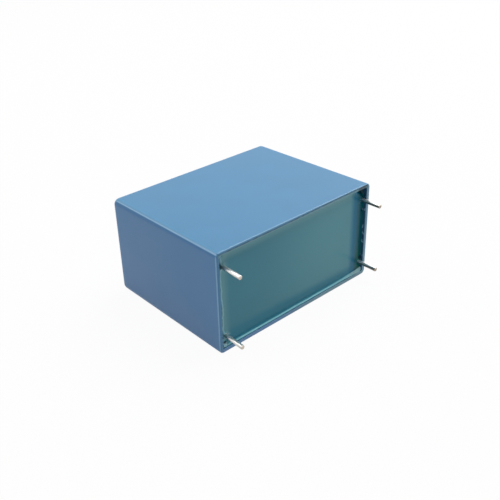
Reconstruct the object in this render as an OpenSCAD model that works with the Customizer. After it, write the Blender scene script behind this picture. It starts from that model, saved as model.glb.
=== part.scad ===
// Box film capacitor with two rows of leads, lying on one of its wide sides.
// X runs along the length of the case, Y from the potted side into the case and Z up.
// The origin is the centre of the lead pattern, on the plane of the rim that meets the board.

/* [Case] */
// Height of the case above the board
case_height = 44.2; // [36:0.2:60]
// Width of the case across both rows of leads
case_width = 29.6; // [28:0.2:36]
// Thickness of the four side walls
wall = 1.1; // [0.9:0.1:1.3]
// Thickness of the wall that closes the far end
end_wall = 1.5; // [1:0.1:2.5]
// Rounding of the closed end, and of the long edges where they reach it
edge_radius = 1.8; // [1.4:0.1:2.5]
// Rounding of the long edges where they start at the rim
corner_radius = 1.3; // [0.8:0.1:1.6]
// Rounding of the rim's outer edge
rim_radius = 0.3; // [0.1:0.1:0.4]
// How far each side leans in between the rim and the closed end
draft = 0.2; // [0.05:0.05:0.3]
// Height of the ribs inside the closed end
rib_height = 0.9; // [0.5:0.1:1]

/* [Leads] */
// Distance between the leads along the length of the case
lead_spacing = 52.5; // [37.5:0.5:60]
// Distance between the two rows of leads
row_spacing = 20.3; // [16:0.1:23]
// Diameter of a lead
lead_d = 1.2; // [1:0.1:1.2]
// How far the leads stand out past the rim
lead_reach = 5.8; // [3:0.1:25]
// Distance from a lead's centre line to the outside of the case
lead_inset = 2.5; // [2.5:0.1:3.5]

/* [Resin] */
// Depth of the resin surface below the rim
resin_recess = 1.1; // [1:0.1:2]
// How far the resin climbs where it meets the case
meniscus_rise = 0.6; // [0.2:0.1:0.7]
// Distance from the case over which the resin climbs
meniscus_width = 2.4; // [1.6:0.2:3]
// Height of the small cone of resin round each lead
collar_rise = 0.5; // [0.3:0.1:0.7]

/* [Windings] */
// Resin between the windings and the case walls
side_cover = 0.7; // [0.5:0.1:1]
// Resin between the windings and the potted surface
front_cover = 3; // [2:0.5:5]
// Gap between the two windings
winding_gap = 0.4; // [0.2:0.1:1]
// Thickness of the sprayed metal on each winding end
spray_thickness = 0.75; // [0.5:0.05:1]
// Depth to which a lead is welded into the sprayed metal
weld_depth = 0.1; // [0.05:0.05:0.2]
// Length of the solder round each lead
solder_length = 8; // [4:1:12]
// Thickness of the solder over the lead
solder_cover = 0.35; // [0.2:0.05:0.4]

/* [Hidden] */
$fn = 64;

// Rounded corners of the moulded shapes use fewer facets than the round parts
corner_fn = 32;
// Ends of the case along X
left = -1;
right = 1;
// Rows along the board's Y, which points down once the case lies on its side
upper = -1;
lower = 1;

// The case, measured in the board's frame: length along X, width along Y, height along Z
case_length = lead_spacing + 2 * lead_inset;
inner_edge_radius = edge_radius - wall / 2;
inner_corner_radius = corner_radius - wall / 2;
cavity_height = case_height - end_wall;
rib_width = 1.2;
rib_offset = case_length / 4;
gate_d = 3;
gate_depth = 0.4;
gate_stub_d = 1.2;
gate_stub_height = 0.3;

// Windings: flattened rolls, side by side, each under its own pair of leads
rib_clearance = 0.4;
winding_foot = resin_recess + front_cover;
winding_top = cavity_height - rib_height - rib_clearance;
winding_height = winding_top - winding_foot;
winding_mid = winding_foot + winding_height / 2;
winding_thickness = (case_width - 2 * (wall + draft + side_cover) - winding_gap) / 2;
winding_offset = (winding_gap + winding_thickness) / 2;
spray_face = (lead_spacing - lead_d) / 2 + weld_depth;
film_width = 2 * (spray_face - spray_thickness);
// The sprayed layer stops just short of the roll's outer turns
spray_margin = 0.3;

// Length of wire past the solder
lead_tail = 1;
lead_end = winding_mid + solder_length / 2 + lead_tail;
lead_chamfer = 0.15;
solder_chamfer = 0.25;
collar_root = 1;
// Thin plates that are joined into hulls
plate = 0.01;
meniscus_steps = 6;
// Thickness of the resin's edge where it ends on the case wall
meniscus_lip = 0.1;

// Lays a shape from the board's frame on its wide side, with the leads towards -Y
module lay_down() {
    rotate([-90, 0, 0]) children();
}

// Places children at the four corners of a rectangle
module at_corners(length, width) {
    for (x = [-1, 1], y = [-1, 1]) translate([x * length / 2, y * width / 2, 0]) children();
}

// Quarter-rounded end of a corner, with its flat side down
module corner_dome(r) {
    rotate_extrude($fn = corner_fn) intersection() {
        circle(r, $fn = corner_fn);
        square(r);
    }
}

// Short post for a corner at the rim, rounded at its foot
module corner_post(r, lip, height) {
    turns = lip > 0 ? [0, 30, 60, 90] : [90];
    rotate_extrude($fn = corner_fn) polygon(concat(
        [[0, 0]],
        [for (turn = turns) [r - lip * (1 - sin(turn)), lip * (1 - cos(turn))]],
        [[r, height], [0, height]]));
}

// Moulded block whose sides lean in towards a rounded far end, with long edges that are
// rounded by r at the rim and by end_r at the far end. It starts a little before the rim
// where it is used to cut
module drafted_block(length, width, height, r, end_r, lip = 0, start = 0) {
    hull() {
        translate([0, 0, start])
            at_corners(length - 2 * r, width - 2 * r) corner_post(r, lip, lip + plate - start);
        translate([0, 0, height - end_r])
            at_corners(length - 2 * (end_r + draft), width - 2 * (end_r + draft)) corner_dome(end_r);
    }
}

// Rib across the inside of the closed end, which keeps the windings off it
module spacer_rib(side) {
    translate([side * rib_offset - rib_width / 2, -case_width / 2, cavity_height - rib_height])
        cube([rib_width, case_width, rib_height + end_wall / 2]);
}

// Space inside the case: what the resin fills, with the windings in it
module case_cavity() {
    difference() {
        drafted_block(case_length - 2 * wall, case_width - 2 * wall, cavity_height,
            inner_corner_radius, inner_edge_radius, start = -plate);
        spacer_rib(left);
        spacer_rib(right);
    }
}

// Round pocket in the closed end with the stub left by the moulding gate
module gate_pocket() {
    translate([0, 0, case_height - gate_depth]) difference() {
        cylinder(d = gate_d, h = 2 * gate_depth);
        cylinder(d = gate_stub_d, h = gate_stub_height);
    }
}

module case() {
    color("steelblue") lay_down() difference() {
        drafted_block(case_length, case_width, case_height, corner_radius, edge_radius, rim_radius);
        case_cavity();
        gate_pocket();
    }
}

// Outline of a flattened roll across its axis: thickness along X, height along Y
module roll_outline(thickness, height) {
    straight = height - thickness;
    square([thickness, straight], center = true);
    for (end = [-1, 1]) translate([0, end * straight / 2]) circle(d = thickness);
}

// Flattened roll of a row, centred at a place along the length and inset by a margin
module flat_roll(row, centre_x, length, margin) {
    translate([centre_x - length / 2, row * winding_offset, winding_mid]) rotate([90, 0, 90])
        linear_extrude(length) roll_outline(winding_thickness - 2 * margin, winding_height - 2 * margin);
}

module winding_body(row) {
    flat_roll(row, 0, film_width, 0);
}

module winding(row) {
    color("silver") lay_down() winding_body(row);
}

// Sprayed metal on one end of a winding, before the lead is pressed into it
module spray_body(side, row) {
    flat_roll(row, side * (spray_face - spray_thickness / 2), spray_thickness, spray_margin);
}

module end_spray(side, row) {
    color("darkgray") lay_down() difference() {
        spray_body(side, row);
        lead_body(side, row);
    }
}

// Puts children on a lead's centre line
module at_lead(side, row) {
    translate([side * lead_spacing / 2, row * row_spacing / 2, 0]) children();
}

// Straight wire with a small chamfer on its cut ends. Its surface is divided at the rim,
// where the length that a board's hole takes up ends
module lead_body(side, row) {
    r = lead_d / 2;
    at_lead(side, row) rotate_extrude() polygon([
        [0, -lead_reach], [r - lead_chamfer, -lead_reach], [r, lead_chamfer - lead_reach],
        [r, 0],
        [r, lead_end - lead_chamfer], [r - lead_chamfer, lead_end], [0, lead_end]]);
}

module lead(side, row) {
    color("gainsboro") lay_down() lead_body(side, row);
}

// Solder run along the lead and onto the sprayed metal
module solder_body(side, row) {
    r = lead_d / 2 + solder_cover;
    foot = winding_mid - solder_length / 2;
    intersection() {
        at_lead(side, row) translate([0, 0, foot]) rotate_extrude() polygon([
            [0, 0], [r - solder_chamfer, 0], [r, solder_chamfer],
            [r, solder_length - solder_chamfer], [r - solder_chamfer, solder_length], [0, solder_length]]);
        translate([side == left ? -spray_face - 2 * r : spray_face, row * row_spacing / 2 - r, foot])
            cube([2 * r, 2 * r, solder_length]);
    }
}

module solder(side, row) {
    color("lightgray") lay_down() difference() {
        solder_body(side, row);
        lead_body(side, row);
    }
}

// Air in front of the resin: a slab as far as the resin climbs, and a cushion below it
// whose rounded edge leaves the resin higher at the case
module open_air() {
    slab = resin_recess - meniscus_rise + 2 * plate;
    translate([-case_length / 2, -case_width / 2, -2 * plate]) cube([case_length, case_width, slab]);
    air_cushion();
}

module air_cushion() {
    length = case_length - 2 * (wall + meniscus_lip);
    width = case_width - 2 * (wall + meniscus_lip);
    r = inner_corner_radius;
    hull() for (step = [0:meniscus_steps]) {
        t = step / meniscus_steps;
        inset = meniscus_width * t;
        level = resin_recess - meniscus_rise * pow(1 - t, 2);
        at_corners(length - 2 * (r + inset), width - 2 * (r + inset))
            cylinder(r = r, h = level, $fn = corner_fn);
    }
}

// Resin drawn up round a lead, hollow in profile
module lead_collar(side, row) {
    foot_r = lead_d / 2 + collar_rise;
    at_lead(side, row) translate([0, 0, resin_recess - collar_rise]) rotate_extrude() difference() {
        square([foot_r, collar_rise + collar_root]);
        translate([foot_r, 0]) circle(collar_rise);
    }
}

// Resin that fills the case round the windings and their leads
module resin_fill() {
    color("cadetblue") lay_down() difference() {
        union() {
            difference() {
                case_cavity();
                open_air();
            }
            for (side = [left, right], row = [upper, lower]) lead_collar(side, row);
        }
        for (row = [upper, lower]) {
            winding_body(row);
            for (side = [left, right]) {
                spray_body(side, row);
                lead_body(side, row);
                solder_body(side, row);
            }
        }
    }
}

case();
resin_fill();
winding(upper);  // winding_upper
winding(lower);  // winding_lower
end_spray(left, upper);  // end_spray_left_upper
end_spray(left, lower);  // end_spray_left_lower
end_spray(right, upper);  // end_spray_right_upper
end_spray(right, lower);  // end_spray_right_lower
lead(left, upper);  // lead_left_upper
lead(left, lower);  // lead_left_lower
lead(right, upper);  // lead_right_upper
lead(right, lower);  // lead_right_lower
solder(left, upper);  // solder_left_upper
solder(left, lower);  // solder_left_lower
solder(right, upper);  // solder_right_upper
solder(right, lower);  // solder_right_lower
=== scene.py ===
import math

import bmesh
import bpy
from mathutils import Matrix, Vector, noise


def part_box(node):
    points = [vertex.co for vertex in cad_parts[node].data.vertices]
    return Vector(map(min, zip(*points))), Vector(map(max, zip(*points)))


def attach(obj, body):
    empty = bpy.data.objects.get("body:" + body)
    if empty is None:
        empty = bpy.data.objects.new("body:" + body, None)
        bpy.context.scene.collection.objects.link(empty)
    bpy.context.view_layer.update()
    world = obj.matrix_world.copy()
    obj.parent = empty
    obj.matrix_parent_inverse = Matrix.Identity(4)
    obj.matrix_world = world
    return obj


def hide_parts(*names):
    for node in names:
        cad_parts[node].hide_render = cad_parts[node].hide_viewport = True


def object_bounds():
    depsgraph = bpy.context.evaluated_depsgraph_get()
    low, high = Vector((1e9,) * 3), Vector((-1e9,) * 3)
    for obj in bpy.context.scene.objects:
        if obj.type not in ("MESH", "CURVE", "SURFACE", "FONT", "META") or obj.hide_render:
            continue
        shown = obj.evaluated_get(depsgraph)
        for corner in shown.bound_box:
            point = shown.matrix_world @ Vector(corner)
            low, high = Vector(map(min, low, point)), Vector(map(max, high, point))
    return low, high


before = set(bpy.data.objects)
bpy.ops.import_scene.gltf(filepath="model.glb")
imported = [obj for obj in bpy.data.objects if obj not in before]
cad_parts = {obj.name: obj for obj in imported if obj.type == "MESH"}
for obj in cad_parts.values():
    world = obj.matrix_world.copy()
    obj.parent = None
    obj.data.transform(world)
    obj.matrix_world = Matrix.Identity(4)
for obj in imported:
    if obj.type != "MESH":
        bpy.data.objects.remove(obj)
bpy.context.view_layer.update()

MM = 0.001
DEG = math.pi / 180
SAME_PLACE = 0.01 * MM

# The case, as the frame gives it
CASE_LOW, CASE_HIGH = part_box("case")
CASE_MID = (CASE_LOW + CASE_HIGH) / 2
CASE_SIZE = CASE_HIGH - CASE_LOW
RIM_Y = CASE_LOW.y
WALL = 1.1 * MM
END_WALL = 1.5 * MM
EDGE_RADIUS = 1.8 * MM
CORNER_RADIUS = 1.3 * MM
INNER_CORNER_RADIUS = 0.7 * MM
LEAN = 0.2 * MM
RIM_SOFTNESS = 0.3 * MM
RIM_INNER_SOFTNESS = 0.15 * MM
INNER_HALF_X = CASE_SIZE.x / 2 - WALL
INNER_HALF_Z = CASE_SIZE.z / 2 - WALL

# The pocket in the closed end, with the stub of the moulding gate
GATE_RADIUS = 1.5 * MM
GATE_DEPTH = 0.4 * MM
STUB_RADIUS = 0.6 * MM
STUB_HEIGHT = 0.3 * MM

# The casting resin, which lies below the rim and climbs the walls and the leads
RESIN_RECESS = 1.1 * MM
LEAST_RECESS = 0.15 * MM
MENISCUS_RISE = 0.65 * MM
MENISCUS_REACH = 0.22 * MM
COLLAR_RISE = 0.55 * MM
COLLAR_REACH = 0.35 * MM
# What that rise and that reach are multiplied by on the left, upper and right walls
LEFT_CLIMB = (1.0, 1.6)
UPPER_CLIMB = (0.8, 1.8)
RIGHT_CLIMB = (0.12, 1.5)
# The rounded band along the lower wall, which flares out towards the right
FILLET_RISE = 0.85 * MM
FILLET_WIDTH = 0.75 * MM
FLARE_LENGTH = 6 * MM
FLARE_WIDENING = 0.9
# The slow unevenness of the edges and of the surface
WANDER = 0.25
WANDER_SIZE = 5 * MM
SWELL = 0.03 * MM
SWELL_SIZE = 11 * MM
SWELL_SLICE = 5 * MM
# Lines of the surface's grid, and how much they crowd towards the edges, from 0 to 1
RESIN_COLUMNS = 260
RESIN_ROWS = 140
CROWDING = 0.8

# Places where the resin has drawn away from the case: X, Z, radius and depth in millimetres
PITS = [(-26.6, 13.3, 0.6, 0.9), (-27.2, 10.4, 0.6, 1.0), (-27.0, -11.2, 0.5, 0.8), (-26.0, -12.9, 0.5, 0.5),
        (25.8, 13.0, 0.8, 0.8), (27.0, 12.2, 0.9, 0.8), (27.3, 9.6, 0.6, 0.8), (27.4, 6.4, 0.4, 0.6),
        (27.5, -9.3, 0.45, 0.6)]

# The leads, and how far the tip of each has been bent along X and Z, in millimetres
LEADS = ["lead_left_upper", "lead_left_lower", "lead_right_upper", "lead_right_lower"]
LEAD_ROW = (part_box(LEADS[0])[0].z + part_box(LEADS[0])[1].z) / 2
LEAD_BENDS = {"lead_left_upper": (0.05, -0.35), "lead_left_lower": (0.1, -0.55),
              "lead_right_upper": (0.2, -0.1), "lead_right_lower": (0.3, -0.3)}
TIP_SOFTNESS = 0.13 * MM

# The camera, in front of the open side and to its left, looking down on the case
CAMERA_PLACE = (-122.41 * MM, -114.74 * MM, 99.77 * MM)
CAMERA_TURN = (60.418 * DEG, 1.154 * DEG, -43.037 * DEG)
CAMERA_LENS = 52.175
SENSOR_WIDTH = 36
NEAREST_SEEN = 10 * MM

# The studio: how strongly the world lights things, and how white the floor looks
WORLD_LIGHT = 0.32
FLOOR_SIZE = 6
FLOOR_WHITENESS = 0.95
FLOOR_GREY = (0.8, 0.8, 0.8, 1)
WHITE = (1, 1, 1, 1)


# ---------------------------------------------------------------- modelling helpers

def pick(piece):
    """Selects one piece and nothing else."""
    bpy.ops.object.select_all(action="DESELECT")
    piece.select_set(True)
    bpy.context.view_layer.objects.active = piece


def add_piece(name, add, **place):
    """Adds a primitive with nothing else selected, and puts its place into its mesh."""
    bpy.ops.object.select_all(action="DESELECT")
    add(**place)
    piece = bpy.context.object
    piece.name = name
    piece.data.name = name
    bpy.ops.object.transform_apply(location=True, rotation=True, scale=True)
    return piece


def edit(piece):
    pick(piece)
    bpy.ops.object.mode_set(mode="EDIT")


def done():
    bpy.ops.object.mode_set(mode="OBJECT")


def choose(piece, kind, test):
    """In edit mode, selects only the vertices, edges or faces that pass a test."""
    bpy.ops.mesh.select_mode(type={"verts": "VERT", "edges": "EDGE", "faces": "FACE"}[kind])
    bpy.ops.mesh.select_all(action="DESELECT")
    mesh = bmesh.from_edit_mesh(piece.data)
    for item in getattr(mesh, kind):
        if test(item):
            item.select_set(True)
    mesh.select_flush_mode()
    bmesh.update_edit_mesh(piece.data)


def slide(x=0, y=0, z=0):
    """Extrudes what is selected, and moves it that far."""
    bpy.ops.mesh.extrude_region_move(TRANSFORM_OT_translate={"value": (x, y, z)})


def face_outwards():
    bpy.ops.mesh.select_all(action="SELECT")
    bpy.ops.mesh.normals_make_consistent(inside=False)


def apply_modifier(piece, kind, **settings):
    pick(piece)
    modifier = piece.modifiers.new(kind.lower(), kind)
    for key, value in settings.items():
        setattr(modifier, key, value)
    bpy.ops.object.modifier_apply(modifier=modifier.name)


def smooth(piece, angle):
    """Smooth shading across rounded edges, with the flat faces kept flat."""
    pick(piece)
    bpy.ops.object.shade_smooth_by_angle(angle=angle)
    apply_modifier(piece, "WEIGHTED_NORMAL", keep_sharp=True, weight=50)


def finish_piece(piece, slot, material, *replaced):
    piece.data.materials.clear()
    piece.data.materials.append(material)
    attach(piece, "root")
    if replaced:
        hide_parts(*replaced)


# ---------------------------------------------------------------- material helpers

class Signal:
    """A value that changes over a surface: one output of a node, with arithmetic."""

    def __init__(self, shade, socket):
        self.shade = shade
        self.socket = socket

    def maths(self, operation, first, second):
        return self.shade.node("ShaderNodeMath", {"operation": operation}, {0: first, 1: second})

    def __add__(self, other):
        return self.maths("ADD", self, other)

    def __radd__(self, other):
        return self.maths("ADD", other, self)

    def __sub__(self, other):
        return self.maths("SUBTRACT", self, other)

    def __rsub__(self, other):
        return self.maths("SUBTRACT", other, self)

    def __mul__(self, other):
        return self.maths("MULTIPLY", self, other)

    def __rmul__(self, other):
        return self.maths("MULTIPLY", other, self)

    def __pow__(self, other):
        return self.maths("POWER", self, other)


class Nodes:
    """A node tree, and the method that adds nodes to it with their settings and inputs."""

    def __init__(self, tree):
        self.tree = tree

    def node(self, kind, settings=None, inputs=None, output=0):
        made = self.tree.nodes.new(kind)
        for key, value in (settings or {}).items():
            if key == "stops":
                self.set_stops(made.color_ramp, value)
            else:
                setattr(made, key, value)
        for key, value in (inputs or {}).items():
            self.feed(made.inputs[key], value)
        return Signal(self, made.outputs[output])

    def feed(self, socket, value):
        """Links a signal to a socket, or sets the socket to a constant."""
        if isinstance(value, Signal):
            self.tree.links.new(value.socket, socket)
        else:
            socket.default_value = value

    @staticmethod
    def set_stops(ramp, stops):
        while len(ramp.elements) > 1:
            ramp.elements.remove(ramp.elements[-1])
        for index, (position, level) in enumerate(stops):
            element = ramp.elements[0] if index == 0 else ramp.elements.new(position)
            element.position = position
            element.color = (level, level, level, 1)


class Shade(Nodes):
    """A material and its nodes."""

    def __init__(self, name):
        self.material = bpy.data.materials.new(name)
        self.material.use_nodes = True
        super().__init__(self.material.node_tree)
        self.tree.nodes.clear()
        self.output = self.tree.nodes.new("ShaderNodeOutputMaterial")
        self.place = self.node("ShaderNodeTexCoord", output="Object")

    def axis(self, name):
        """The Object coordinate along one axis, in metres."""
        return self.node("ShaderNodeSeparateXYZ", inputs={"Vector": self.place}, output=name)

    def size_of(self, value):
        return value.maths("ABSOLUTE", value, 0.0)

    def least(self, first, second):
        return first.maths("MINIMUM", first, second)

    def fade(self, value, zero_at, one_at):
        """Changes smoothly from 0 at the first place to 1 at the second, which may be the lower one."""
        inputs = {"Value": value, "From Min": min(zero_at, one_at), "From Max": max(zero_at, one_at)}
        if zero_at > one_at:
            inputs.update({"To Min": 1.0, "To Max": 0.0})
        return self.node("ShaderNodeMapRange", {"interpolation_type": "SMOOTHSTEP"}, inputs)

    def band(self, value, low_foot, low_top, high_top, high_foot):
        """1 between the two tops, and 0 outside the two feet."""
        return self.fade(value, low_foot, low_top) * self.fade(value, high_foot, high_top)

    def spot(self, x, z, radius):
        """A soft round spot about a point of the open side, given in metres."""
        away_x = self.axis("X") - x
        away_z = self.axis("Z") - z
        return self.fade((away_x * away_x + away_z * away_z) ** 0.5, radius, 0.4 * radius)

    def ramp(self, value, *stops):
        return self.node("ShaderNodeValToRGB", {"stops": stops}, {"Fac": value})

    def stretched(self, scale):
        return self.node("ShaderNodeMapping", inputs={"Vector": self.place, "Scale": scale})

    def grain(self, size, detail=2.0, roughness=0.5, where=None):
        """Soft noise with features of about that size in metres, from 0 to 1."""
        return self.node("ShaderNodeTexNoise", inputs={
            "Vector": where or self.place, "Scale": 1 / size, "Detail": detail, "Roughness": roughness})

    def mix(self, factor, first, second):
        """A colour between two colours. Index 6 and 7 are the colour sockets of a Mix node."""
        return self.node("ShaderNodeMix", {"data_type": "RGBA"}, {0: factor, 6: first, 7: second}, output=2)

    def bump(self, height, distance, strength=1.0):
        return self.node("ShaderNodeBump", inputs={
            "Height": height, "Distance": distance, "Strength": strength}, output="Normal")

    def surface(self, **sockets):
        inputs = {key.replace("_", " ").title(): value for key, value in sockets.items()}
        inputs = {key.replace("Ior", "IOR"): value for key, value in inputs.items()}
        shader = self.node("ShaderNodeBsdfPrincipled", inputs=inputs, output="BSDF")
        self.feed(self.output.inputs["Surface"], shader)
        return self.material


# ---------------------------------------------------------------- case plastic

CASE_BLUE = (0.061, 0.236, 0.44, 1)
CASE_BLUE_CLOUD = (0.067, 0.248, 0.458, 1)
LEFT_SIDE_SHADE = (0.048, 0.2, 0.435, 1)
EDGE_HIGHLIGHT = (0.16, 0.43, 0.67, 1)
CREASE_HIGHLIGHT = (0.4, 0.6, 0.86, 1)
LEFT_RIM_SHADE = (0.04, 0.19, 0.36, 1)
RIGHT_RIM_HIGHLIGHT = (0.2, 0.36, 0.45, 1)
LOWER_RIM_HIGHLIGHT_LEFT = (0.14, 0.3, 0.56, 1)
LOWER_RIM_HIGHLIGHT_RIGHT = (0.18, 0.36, 0.42, 1)
RIM_EDGE_HIGHLIGHT = (0.19, 0.42, 0.62, 1)
LEFT_RIM_EDGE_HIGHLIGHT = (0.28, 0.52, 0.72, 1)
RESIN_FILM = (0.14, 0.33, 0.37, 1)
BORDER_SHADE = (0.012, 0.08, 0.14, 1)
CORNER_SHADOW = (0.006, 0.04, 0.07, 1)
INNER_WALL_SHADE = (0.01, 0.055, 0.12, 1)
INNER_WALL_FLECK = (0.3, 0.52, 0.68, 1)


class CasePlaces:
    """Where a point of the case lies: its distances in metres, as signals for one material."""

    def __init__(self, shade):
        self.depth = shade.axis("Y") - RIM_Y
        share = self.depth * (1 / CASE_SIZE.y)
        lean = share * LEAN
        self.rounding = CORNER_RADIUS + share * (EDGE_RADIUS - CORNER_RADIUS)
        self.side_x = CASE_SIZE.x / 2 - lean - shade.size_of(shade.axis("X") - CASE_MID.x)
        self.side_z = CASE_SIZE.z / 2 - lean - shade.size_of(shade.axis("Z") - CASE_MID.z)
        self.nearest_side = shade.least(self.side_x, self.side_z)
        self.left = CASE_SIZE.x / 2 - CASE_MID.x + shade.axis("X")
        self.right = CASE_SIZE.x / 2 + CASE_MID.x - shade.axis("X")
        self.below = CASE_SIZE.z / 2 - CASE_MID.z + shade.axis("Z")
        self.above = CASE_SIZE.z / 2 + CASE_MID.z - shade.axis("Z")


def paint_long_edges(shade, place, color):
    """Painted highlights: the roundings along the case are paler, and the left one has a thin bright painted
    highlight along its crease.
    """
    def from_share(share, distance):
        """0 at a share of the rounding, and 1 that far inwards, or outwards if it is negative."""
        return shade.fade(place.side_x - share * place.rounding, 0.0, distance)

    on_wide_side = shade.fade(place.side_z, 0.65 * MM, 0.5 * MM)
    left_half = shade.fade(place.left, 30 * MM, 20 * MM)
    # Painted highlight on the roundings along the case, stronger on its left half
    wide_line = 0.45 * from_share(0.98, -0.3 * MM)
    narrow_line = 1.1 * from_share(0.42, -0.15 * MM)
    edge_highlight_mask = (wide_line + narrow_line) * from_share(0.1, 0.1 * MM) * on_wide_side
    color = shade.mix((0.15 + 0.6 * left_half) * edge_highlight_mask, color, EDGE_HIGHLIGHT)
    # Painted highlight: a thin bright line on the crease of the left rounding
    crease_highlight_mask = from_share(0.45, -0.15 * MM) * from_share(0.13, 0.1 * MM) * on_wide_side * left_half
    return shade.mix(0.45 * crease_highlight_mask, color, CREASE_HIGHLIGHT)


def paint_rim(shade, place, color):
    """Painted light on the rim: painted shade on the middle of the left side, and painted highlights on the
    right and lower sides and along the rim's outer edge.
    """
    on_rim = shade.fade(place.depth, 0.4 * MM, 0.1 * MM)

    def rim_along(distance):
        return on_rim * shade.fade(distance, 1.4 * MM, 1.0 * MM)

    left_rim = rim_along(place.left)
    # Painted shade on the middle of the left rim
    color = shade.mix(0.7 * (left_rim * shade.fade(place.left, 0.3 * MM, 0.5 * MM)), color, LEFT_RIM_SHADE)
    # Painted highlight on the right rim
    color = shade.mix(0.6 * rim_along(place.right), color, RIGHT_RIM_HIGHLIGHT)
    # Painted highlight on the lower rim, greyer towards the right
    lower_rim_highlight = shade.mix(shade.fade(place.left, 15 * MM, 40 * MM), LOWER_RIM_HIGHLIGHT_LEFT, LOWER_RIM_HIGHLIGHT_RIGHT)
    color = shade.mix(0.8 * rim_along(place.below), color, lower_rim_highlight)
    # Painted highlight along the rim's outer edge, brightest on the left
    edge = shade.fade(place.nearest_side, 0.24 * MM, 0.08 * MM) * on_rim
    color = shade.mix(0.7 * edge, color, RIM_EDGE_HIGHLIGHT)
    return shade.mix(left_rim * edge, color, LEFT_RIM_EDGE_HIGHLIGHT)


def paint_resin_film_and_shade(shade, place, color):
    """Resin on the inner half of the upper rim as a thin film, with a dark line of painted shade at its
    border and a painted shadow near the right corner.
    """
    near_rim = shade.fade(place.depth, 0.6 * MM, 0.3 * MM) * shade.fade(place.side_x, 0.7 * MM, 1.0 * MM)
    past_border = place.above - (0.5 * MM - (0.3 * MM) * shade.fade(place.left, 20 * MM, 50 * MM))
    film = shade.fade(past_border, 0.1 * MM, 0.25 * MM) * shade.fade(place.above, 1.7 * MM, 1.4 * MM)
    color = shade.mix(0.8 * (film * near_rim), color, RESIN_FILM)
    # Painted shade: an uneven dark line at the border of the film
    border_shade_mask = shade.band(past_border, -0.1 * MM, 0.05 * MM, 0.25 * MM, 0.4 * MM)
    uneven = shade.ramp(shade.grain(1.8 * MM, detail=2), (0.35, 0.35), (0.6, 1))
    color = shade.mix(0.95 * (uneven * (border_shade_mask * near_rim)), color, BORDER_SHADE)
    # Painted shadow on the upper rim near the right corner, where the walls block the light
    ragged = shade.ramp(shade.grain(1.4 * MM), (0.3, 0.5), (0.5, 1))
    corner_shadow_mask = (shade.fade(place.right, 5.5 * MM, 4.5 * MM)
            * shade.band(place.above, 0.1 * MM, 0.3 * MM, 1.3 * MM, 1.6 * MM) * ragged)
    return shade.mix(0.9 * (corner_shadow_mask * near_rim), color, CORNER_SHADOW)


def paint_inner_walls(shade, place, color):
    """The inner walls are darkened above the resin by painted shade, and carry pale flecks."""
    inner = (shade.fade(place.nearest_side, WALL - 0.1 * MM, WALL)
             * shade.band(place.depth, 0.12 * MM, 0.3 * MM, 3 * MM, 4 * MM))
    # Painted shade in the recess above the resin
    color = shade.mix(0.85 * inner, color, INNER_WALL_SHADE)
    flecks = shade.ramp(shade.grain(1.3 * MM, detail=1), (0.56, 0), (0.64, 1))
    return shade.mix(0.8 * (flecks * inner), color, INNER_WALL_FLECK)


def case_plastic():
    """Satin blue polyester, cloudy and finely grained, with painted highlights on its moulded edges and
    painted shade on its left side, rim and inner walls.
    """
    shade = Shade("case_plastic")
    place = CasePlaces(shade)
    cloud = shade.ramp(shade.grain(9 * MM, detail=3), (0.35, 0), (0.7, 1))
    color = shade.mix(cloud, CASE_BLUE, CASE_BLUE_CLOUD)
    # Painted shade: the left side is a deeper, more violet blue
    color = shade.mix(shade.fade(place.left, 0.9 * MM, 0.3 * MM), color, LEFT_SIDE_SHADE)
    for paint in (paint_long_edges, paint_rim, paint_resin_film_and_shade, paint_inner_walls):
        color = paint(shade, place, color)
    fine = shade.grain(0.22 * MM, detail=2)
    return shade.surface(base_color=color, roughness=0.33 + 0.06 * cloud, ior=1.5,
                         normal=shade.bump(fine, 0.006 * MM, 0.5))


# ---------------------------------------------------------------- casting resin

RESIN_LEFT = (0.057, 0.238, 0.32, 1)
RESIN_RIGHT = (0.108, 0.326, 0.392, 1)
RESIN_CLOUD = (0.08, 0.3, 0.36, 1)
RESIN_LOW_SHADE = (0.02, 0.215, 0.315, 1)
RESIN_WALL_BAND = (0.145, 0.345, 0.385, 1)
RIGHT_WALL_SHADOW = (0.004, 0.17, 0.3, 1)
RIGHT_END_SHADOW = (0.0, 0.1, 0.13, 1)
RIGHT_END_LOW_SHADOW = (0.004, 0.125, 0.105, 1)
CREST_HIGHLIGHT = (0.26, 0.68, 0.76, 1)
FLARE_HIGHLIGHT = (0.42, 0.72, 0.76, 1)
BRINK_SHADE = (0.015, 0.09, 0.16, 1)
SEAM_SHADE = (0.01, 0.07, 0.11, 1)
PALE_SPECK = (0.45, 0.66, 0.72, 1)
GLEAM = (0.24, 0.5, 0.6, 1)
HOLLOW_SHADE = (0.004, 0.035, 0.055, 1)


class ResinPlaces:
    """Where a point of the resin lies: its distances in metres, as signals for one material."""

    def __init__(self, shade):
        self.along = shade.axis("X") - CASE_MID.x
        self.across = shade.axis("Z") - CASE_MID.z
        self.depth = shade.axis("Y") - RIM_Y
        self.beads = shade.grain(0.9 * MM, detail=2)


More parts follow.
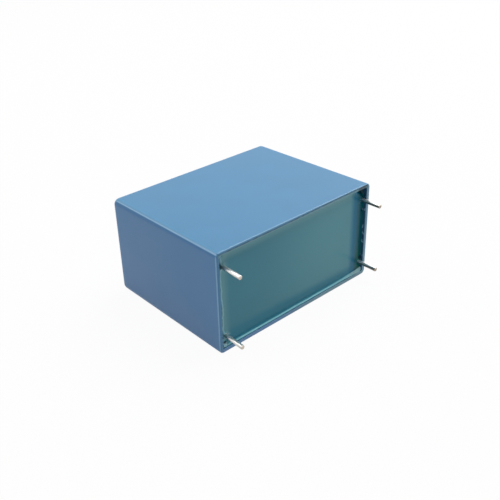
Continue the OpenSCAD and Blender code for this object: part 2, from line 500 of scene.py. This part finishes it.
def paint_depth_of_resin(shade, place, color):
    """Painted shade makes it darker and bluer at the bottom, it is paler in bands along the left and upper
    walls, and a painted shadow of the right wall darkens the right.
    """
    along, across = place.along, place.across
    # Painted shade towards the bottom of the resin
    low = shade.fade(across + 0.03 * along, -9 * MM, -11.5 * MM)
    color = shade.mix(0.9 * low, color, RESIN_LOW_SHADE)
    streaks = shade.grain(1.5 * MM, detail=2, where=shade.stretched((1, 1, 0.15)))
    wall_band = (shade.fade(along, 4 * MM - INNER_HALF_X, 1.5 * MM - INNER_HALF_X)
            + shade.fade(across, INNER_HALF_Z - 3 * MM, INNER_HALF_Z - 1 * MM))
    color = shade.mix((0.6 + 0.4 * streaks) * wall_band, color, RESIN_WALL_BAND)
    # Painted shadow of the right wall, darkest at the right end and towards its lower part
    right_wall_shadow_mask = shade.fade(along, INNER_HALF_X - 6 * MM, INNER_HALF_X - 3.4 * MM)
    color = shade.mix(right_wall_shadow_mask, color, RIGHT_WALL_SHADOW)
    right_end_shadow_mask = shade.fade(along, INNER_HALF_X - 3.6 * MM, INNER_HALF_X - 1.2 * MM)
    color = shade.mix(right_end_shadow_mask, color, RIGHT_END_SHADOW)
    return shade.mix(0.8 * (right_end_shadow_mask * shade.fade(across, -3 * MM, -9 * MM)), color, RIGHT_END_LOW_SHADOW)


def paint_lower_band(shade, place, color):
    """The band along the lower wall has a painted highlight on its crest, and painted shade at its brink on
    the wall.
    """
    flare = shade.fade(place.along, INNER_HALF_X - 9 * MM, INNER_HALF_X - 2 * MM)
    lower_wall = shade.fade(place.across - (0.8 * MM) * flare,
                            1.0 * MM - INNER_HALF_Z, 0.8 * MM - INNER_HALF_Z)
    # Painted highlight on the crest of the band, paler where it flares on the right
    crest_highlight_mask = (lower_wall * shade.fade(place.depth, 0.98 * MM, 0.78 * MM)
             * (0.3 + 0.7 * shade.fade(place.along, -26 * MM, -21 * MM)))
    color = shade.mix(crest_highlight_mask, color, shade.mix(flare, CREST_HIGHLIGHT, FLARE_HIGHLIGHT))
    # Painted shade at the brink where the band meets the wall
    brink_shade_mask = shade.fade(place.depth + (0.2 * MM) * flare, 0.48 * MM, 0.36 * MM)
    return shade.mix(lower_wall * brink_shade_mask, color, BRINK_SHADE)


def paint_seams(shade, place, color):
    """Painted shade in the seams along the upper and left walls, with pale specks near the lower left corner
    and a painted highlight beside the left seam.
    """
    # Painted shade in the seams along the upper and left walls, broken up by the beads
    upper_seam_shade = (shade.fade(place.across, INNER_HALF_Z - 0.45 * MM, INNER_HALF_Z - 0.2 * MM)
                  * shade.fade(place.along, -14 * MM, 20 * MM))
    wavy = place.along + (1.4 * MM) * (shade.grain(3 * MM, detail=2) - 0.5)
    left_seam_shade = 0.8 * shade.fade(wavy, 1.0 * MM - INNER_HALF_X, 0.75 * MM - INNER_HALF_X)
    color = shade.mix((0.4 + 0.6 * place.beads) * (upper_seam_shade + left_seam_shade), color, SEAM_SHADE)
    pale_specks = shade.ramp(shade.grain(0.7 * MM, detail=1), (0.55, 0), (0.62, 1))
    pale_specks = pale_specks * shade.spot(-26.4 * MM, -12.0 * MM, 2.8 * MM)
    color = shade.mix(0.8 * pale_specks, color, PALE_SPECK)
    # Painted highlight beside the left seam
    gleam = shade.band(wavy, 0.9 * MM - INNER_HALF_X, 1.1 * MM - INNER_HALF_X,
                       1.25 * MM - INNER_HALF_X, 1.5 * MM - INNER_HALF_X)
    return shade.mix(gleam, color, GLEAM)


def paint_hollows(shade, place, color):
    # Painted shade in the pits where the resin has drawn away from the case
    for x, z, radius, _ in PITS:
        hollow_shade_mask = shade.spot(x * MM, z * MM, 1.3 * radius * MM)
        color = shade.mix((0.5 + 0.5 * place.beads) * hollow_shade_mask, color, HOLLOW_SHADE)
    return color


def potting_resin():
    """Blue-green casting resin with a soft gloss, paler in bands along the left and upper walls, with
    painted highlights and painted shade near the walls.
    """
    shade = Shade("potting_resin")
    place = ResinPlaces(shade)
    cloud = shade.ramp(shade.grain(14 * MM, detail=2), (0.3, 0), (0.7, 1))
    color = shade.mix(shade.fade(place.along, -22 * MM, 16 * MM), RESIN_LEFT, RESIN_RIGHT)
    color = shade.mix(0.2 * cloud, color, RESIN_CLOUD)
    for paint in (paint_depth_of_resin, paint_lower_band, paint_seams, paint_hollows):
        color = paint(shade, place, color)
    waves = shade.grain(2.5 * MM, detail=1)
    return shade.surface(base_color=color, roughness=0.2 + 0.06 * cloud, ior=1.46, specular_ior_level=0.22,
                         normal=shade.bump(waves, 0.02 * MM, 0.3))


# ---------------------------------------------------------------- metals and film

TIN_DULL = (0.72, 0.7, 0.67, 1)
TIN_BRIGHT = (0.86, 0.85, 0.83, 1)
TIN_UNDERSIDE_SHADE = (0.05, 0.055, 0.052, 1)
CUT_TIP = (0.6, 0.46, 0.3, 1)
FILM_DULL = (0.5, 0.51, 0.5, 1)
FILM_BRIGHT = (0.66, 0.67, 0.67, 1)
SPRAY_DULL = (0.34, 0.35, 0.36, 1)
SPRAY_BRIGHT = (0.52, 0.53, 0.54, 1)
SOLDER_DULL = (0.52, 0.52, 0.52, 1)
SOLDER_BRIGHT = (0.68, 0.68, 0.67, 1)


def tinned_wire():
    """Bright tin on a drawn wire with faint lines along it, with painted shade below that is stronger on the
    right leads, and coppery at the tip.
    """
    shade = Shade("tinned_wire")
    lines = shade.grain(0.12 * MM, detail=2, where=shade.stretched((1, 0.04, 1)))
    spots = shade.grain(0.8 * MM, detail=3)
    color = shade.mix(spots, TIN_DULL, TIN_BRIGHT)
    height = shade.axis("Z")
    above_row = height - LEAD_ROW * height.maths("SIGN", height, 0.0)
    right = shade.fade(shade.axis("X"), -5 * MM, 5 * MM)
    # Painted shade on the underside, stronger on the right leads
    underside_shade_mask = shade.fade(above_row - (0.4 * MM) * right, -0.05 * MM, -0.4 * MM)
    color = shade.mix((0.4 + 0.4 * right) * underside_shade_mask, color, TIN_UNDERSIDE_SHADE)
    tip = shade.fade(shade.axis("Y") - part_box(LEADS[0])[0].y, 0.2 * MM, 0.05 * MM)
    color = shade.mix(0.4 * tip, color, CUT_TIP)
    return shade.surface(base_color=color, metallic=1.0, roughness=0.24 + 0.14 * spots,
                         normal=shade.bump(lines, 0.01 * MM, 0.5))


def metallised_film():
    """Rolled film with a thin metal layer, seen as fine parallel turns."""
    shade = Shade("metallised_film")
    turns = shade.grain(0.15 * MM, detail=1, where=shade.stretched((0.02, 0.3, 1)))
    color = shade.mix(turns, FILM_DULL, FILM_BRIGHT)
    return shade.surface(base_color=color, metallic=0.6, roughness=0.3 + 0.1 * turns,
                         normal=shade.bump(turns, 0.01 * MM, 0.5))


def sprayed_metal():
    """Dull, grainy metal that was sprayed on in droplets."""
    shade = Shade("sprayed_metal")
    drops = shade.grain(0.3 * MM, detail=4, roughness=0.65)
    color = shade.mix(drops, SPRAY_DULL, SPRAY_BRIGHT)
    return shade.surface(base_color=color, metallic=0.8, roughness=0.55 + 0.2 * drops,
                         normal=shade.bump(drops, 0.08 * MM))


def solder():
    """Satin solder that has set in soft ripples."""
    shade = Shade("solder")
    ripples = shade.grain(0.9 * MM, detail=2)
    color = shade.mix(ripples, SOLDER_DULL, SOLDER_BRIGHT)
    return shade.surface(base_color=color, metallic=1.0, roughness=0.28 + 0.12 * ripples,
                         normal=shade.bump(ripples, 0.05 * MM))


# ---------------------------------------------------------------- the case

def at_rim(vert):
    return abs(vert.co.y - RIM_Y) < SAME_PLACE


def in_outer_half(point):
    """Whether a point of the rim lies in the outer half of the wall."""
    return min(CASE_SIZE.x / 2 - abs(point.x - CASE_MID.x),
               CASE_SIZE.z / 2 - abs(point.z - CASE_MID.z)) < WALL / 2


def on_outer_rim(edge):
    return all(at_rim(vert) and in_outer_half(vert.co) for vert in edge.verts)


def on_inner_rim(edge):
    return all(at_rim(vert) and not in_outer_half(vert.co) for vert in edge.verts)


def lean_in(center):
    """Draws in what is selected as far as the draft does over the depth of the case."""
    half_x, half_z = CASE_SIZE.x / 2, CASE_SIZE.z / 2
    factors = ((half_x - LEAN) / half_x, 1, (half_z - LEAN) / half_z)
    bpy.ops.transform.resize(value=factors, center_override=center)


def gate_cutter():
    """What cuts the round pocket in the closed end and leaves the stub of the moulding gate."""
    cutter = add_piece("gate_cutter", bpy.ops.mesh.primitive_cylinder_add, vertices=48, radius=GATE_RADIUS,
                       depth=2 * GATE_DEPTH, location=(CASE_MID.x, CASE_HIGH.y, CASE_MID.z),
                       rotation=(90 * DEG, 0, 0))
    edit(cutter)
    choose(cutter, "faces", lambda face: face.normal.y < -0.9)
    bpy.ops.mesh.inset(thickness=GATE_RADIUS - STUB_RADIUS)
    slide(y=STUB_HEIGHT)
    done()
    return cutter


def tighten_corners(case):
    """Gives the four outer corners of the rim their smaller radius."""
    factor = CORNER_RADIUS / EDGE_RADIUS
    for side_x in (-1, 1):
        for side_z in (-1, 1):
            corner = Vector((CASE_MID.x + side_x * CASE_SIZE.x / 2, RIM_Y,
                             CASE_MID.z + side_z * CASE_SIZE.z / 2))

            def on_corner(vert):
                return at_rim(vert) and in_outer_half(vert.co) and all(
                    abs(vert.co[axis] - corner[axis]) < 1.01 * EDGE_RADIUS for axis in (0, 2))

            choose(case, "verts", on_corner)
            bpy.ops.transform.resize(value=(factor, 1, factor), center_override=corner)


def make_case(material):
    case = add_piece("moulded_case", bpy.ops.mesh.primitive_cube_add, size=1, location=CASE_MID,
                     scale=CASE_SIZE)
    edit(case)
    choose(case, "faces", lambda face: face.normal.y > 0.9)
    lean_in(CASE_MID)
    choose(case, "edges", lambda edge: not all(at_rim(vert) for vert in edge.verts))
    bpy.ops.mesh.bevel(offset=EDGE_RADIUS, segments=10, affect="EDGES")
    choose(case, "faces", lambda face: face.normal.y < -0.9)
    bpy.ops.mesh.inset(thickness=WALL, use_even_offset=True)
    slide(y=CASE_SIZE.y - END_WALL)
    lean_in(CASE_MID)
    tighten_corners(case)
    choose(case, "edges", on_inner_rim)
    bpy.ops.mesh.bevel(offset=RIM_INNER_SOFTNESS, segments=3, affect="EDGES")
    choose(case, "edges", on_outer_rim)
    bpy.ops.mesh.bevel(offset=RIM_SOFTNESS, segments=4, affect="EDGES")
    face_outwards()
    done()
    cutter = gate_cutter()
    apply_modifier(case, "BOOLEAN", object=cutter, operation="DIFFERENCE", solver="EXACT")
    bpy.data.objects.remove(cutter)
    smooth(case, 32 * DEG)
    finish_piece(case, "case_plastic", material, "case")


# ---------------------------------------------------------------- the resin

def lead_centres():
    for name in LEADS:
        low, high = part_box(name)
        yield (low.x + high.x) / 2, (low.z + high.z) / 2, (high.x - low.x) / 2


LEAD_CENTRES = list(lead_centres())


def fillet_rise(below, right, wander):
    """The rounded band of resin along the lower wall, which flattens out to a slope on the right."""
    flare = math.exp(-max(right, 0) / FLARE_LENGTH)
    width = FILLET_WIDTH * wander * (1 + FLARE_WIDENING * flare)
    reached = max(0, 1 - max(below, 0) / width)
    return FILLET_RISE * ((1 - flare) * (1 - math.sqrt(1 - reached * reached)) + flare * reached)


def wall_rise(x, z):
    """How far the resin climbs at a point because of the walls. It stays low on the right one."""
    left = x - CASE_MID.x + CASE_SIZE.x / 2 - WALL
    right = CASE_SIZE.x / 2 - WALL - x + CASE_MID.x
    below = z - CASE_MID.z + CASE_SIZE.z / 2 - WALL
    above = CASE_SIZE.z / 2 - WALL - z + CASE_MID.z
    wander = 1 + WANDER * noise.noise(Vector((x, z, 0)) / WANDER_SIZE)
    walls = ((left, *LEFT_CLIMB), (above, *UPPER_CLIMB), (right, *RIGHT_CLIMB))
    rise = MENISCUS_RISE * wander * max(
        share * math.exp(-max(gap, 0) / (MENISCUS_REACH * reach)) for gap, share, reach in walls)
    return max(rise, fillet_rise(below, right, wander))


def resin_level(x, z):
    """Where the surface of the resin lies along Y."""
    rise = wall_rise(x, z)
    for lead_x, lead_z, radius in LEAD_CENTRES:
        out = math.hypot(x - lead_x, z - lead_z) - radius
        rise += COLLAR_RISE * math.exp(-max(out, 0) / COLLAR_REACH)
    for pit_x, pit_z, radius, depth in PITS:
        away = math.hypot(x - pit_x * MM, z - pit_z * MM) / (radius * MM)
        rise -= depth * MM * math.exp(-away * away)
    swell = SWELL * noise.noise(Vector((x, z, SWELL_SLICE)) / SWELL_SIZE)
    return RIM_Y + max(RESIN_RECESS - rise, LEAST_RECESS) + swell


def crowd_to_edge(t):
    """Moves grid lines towards the edges, where the resin curves most. Runs from -1 to 1."""
    return (1 - CROWDING) * t + CROWDING * math.sin(t * 90 * DEG)


def round_corner(x, z):
    """Draws a point near a corner of the resin in to the rounding of the case's inside."""
    past_x = abs(x) - (INNER_HALF_X - INNER_CORNER_RADIUS)
    past_z = abs(z) - (INNER_HALF_Z - INNER_CORNER_RADIUS)
    if past_x <= 0 or past_z <= 0:
        return x, z
    pull = min(1, INNER_CORNER_RADIUS / math.hypot(past_x, past_z))
    return (math.copysign(INNER_HALF_X - INNER_CORNER_RADIUS + past_x * pull, x),
            math.copysign(INNER_HALF_Z - INNER_CORNER_RADIUS + past_z * pull, z))


def make_resin(material):
    resin = add_piece("potted_resin", bpy.ops.mesh.primitive_grid_add, x_subdivisions=RESIN_COLUMNS,
                      y_subdivisions=RESIN_ROWS, size=2, rotation=(90 * DEG, 0, 0))
    for vert in resin.data.vertices:
        x, z = round_corner(INNER_HALF_X * crowd_to_edge(vert.co.x), INNER_HALF_Z * crowd_to_edge(vert.co.z))
        x += CASE_MID.x
        z += CASE_MID.z
        vert.co = (x, resin_level(x, z), z)
    edit(resin)
    bpy.ops.mesh.select_mode(type="EDGE")
    bpy.ops.mesh.select_all(action="DESELECT")
    bpy.ops.mesh.select_non_manifold()
    slide(y=CASE_SIZE.y / 2)
    back = (CASE_MID.x, CASE_HIGH.y - END_WALL, CASE_MID.z)
    bpy.ops.transform.resize(value=(1, 0, 1), center_override=back)
    lean_in(back)
    bpy.ops.mesh.edge_face_add()
    face_outwards()
    done()
    bpy.ops.object.shade_smooth_by_angle(angle=50 * DEG)
    finish_piece(resin, "potting_resin", material, "resin_fill")


# ---------------------------------------------------------------- the leads

def bend(vert, low, bend_x, bend_z):
    """Moves one vertex of a lead sideways by as much of the bend as it is out of the rim."""
    out = (RIM_Y - vert.co.y) / (RIM_Y - low.y)
    if out > 0:
        vert.co.x += bend_x * MM * out
        vert.co.z += bend_z * MM * out


def make_lead(name, material):
    low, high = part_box(name)
    lead = add_piece("wire_" + name, bpy.ops.mesh.primitive_cylinder_add, vertices=40,
                     radius=(high.x - low.x) / 2, depth=high.y - low.y, location=(low + high) / 2,
                     rotation=(90 * DEG, 0, 0))
    edit(lead)
    choose(lead, "edges", lambda edge: abs(edge.verts[0].co.y - edge.verts[1].co.y) < SAME_PLACE)
    bpy.ops.mesh.bevel(offset=TIP_SOFTNESS, segments=3, affect="EDGES")
    bpy.ops.mesh.select_all(action="SELECT")
    bpy.ops.mesh.bisect(plane_co=(0, RIM_Y, 0), plane_no=(0, 1, 0))
    done()
    for vert in lead.data.vertices:
        bend(vert, low, *LEAD_BENDS[name])
    smooth(lead, 40 * DEG)
    finish_piece(lead, "tinned_wire", material, name)


# ---------------------------------------------------------------- inner pieces

def dress_inner_pieces():
    """The pieces sealed in the resin keep their solids and get their own finishes."""
    finishes = {"winding": metallised_film(), "end_spray": sprayed_metal(), "solder": solder()}
    for name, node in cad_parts.items():
        for start_of_name, material in finishes.items():
            if name.startswith(start_of_name):
                node.data.materials.clear()
                node.data.materials.append(material)


# ---------------------------------------------------------------- stage, light and camera

def white_for_camera(shade, lit, whiteness):
    """The lit surface, brought towards plain white where the camera and reflections see it."""
    camera, glossy, transmission = (shade.node("ShaderNodeLightPath", output=name)
                                    for name in ("Is Camera Ray", "Is Glossy Ray", "Is Transmission Ray"))
    white = shade.node("ShaderNodeEmission", inputs={"Color": WHITE, "Strength": 1.0})
    factor = whiteness * (camera + glossy + transmission)
    mixed = shade.node("ShaderNodeMixShader", inputs={0: factor, 1: lit, 2: white})
    shade.feed(shade.output.inputs["Surface"], mixed)
    return shade.material


def make_floor():
    floor = add_piece("floor", bpy.ops.mesh.primitive_plane_add, size=FLOOR_SIZE,
                      location=(0, 0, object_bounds()[0].z))
    shade = Shade("white_floor")
    lit = shade.node("ShaderNodeBsdfDiffuse", inputs={"Color": FLOOR_GREY})
    floor.data.materials.append(white_for_camera(shade, lit, FLOOR_WHITENESS))


def make_world():
    """Plain white where the camera and reflections see it, and dimmer as a light."""
    world = bpy.data.worlds.new("studio")
    bpy.context.scene.world = world
    world.use_nodes = True
    nodes = Nodes(world.node_tree)
    camera = nodes.node("ShaderNodeLightPath", output="Is Camera Ray")
    glossy = nodes.node("ShaderNodeLightPath", output="Is Glossy Ray")
    seen = camera.maths("MAXIMUM", camera, glossy)
    strength = nodes.node("ShaderNodeMapRange", inputs={"Value": seen, "To Min": WORLD_LIGHT, "To Max": 1.0})
    background = world.node_tree.nodes["Background"]
    nodes.feed(background.inputs["Color"], WHITE)
    nodes.feed(background.inputs["Strength"], strength)


def add_softbox(name, place, width, power):
    """A square soft light, in metres and watts, that is aimed at the case."""
    lamp = bpy.data.lights.new(name, "AREA")
    lamp.shape = "RECTANGLE"
    lamp.size = lamp.size_y = width
    lamp.energy = power
    box = bpy.data.objects.new(name, lamp)
    box.location = place
    box.rotation_euler = (CASE_MID - Vector(place)).to_track_quat("-Z", "Y").to_euler()
    bpy.context.scene.collection.objects.link(box)


def make_camera():
    camera = bpy.data.cameras.new("camera")
    camera.lens = CAMERA_LENS
    camera.sensor_width = SENSOR_WIDTH
    camera.clip_start = NEAREST_SEEN
    holder = bpy.data.objects.new("camera", camera)
    holder.location = CAMERA_PLACE
    holder.rotation_euler = CAMERA_TURN
    bpy.context.scene.collection.objects.link(holder)
    bpy.context.scene.camera = holder


bpy.context.scene.view_settings.view_transform = "Standard"
make_camera()
make_world()
add_softbox("key_light", place=(0.54, 0.07, 0.8), width=0.72, power=7.9)
add_softbox("back_light", place=(-0.2, 0.35, 0.45), width=0.3, power=0.6)
make_case(case_plastic())
make_resin(potting_resin())
wire = tinned_wire()
for lead_name in LEADS:
    make_lead(lead_name, wire)
dress_inner_pieces()
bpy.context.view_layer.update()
make_floor()
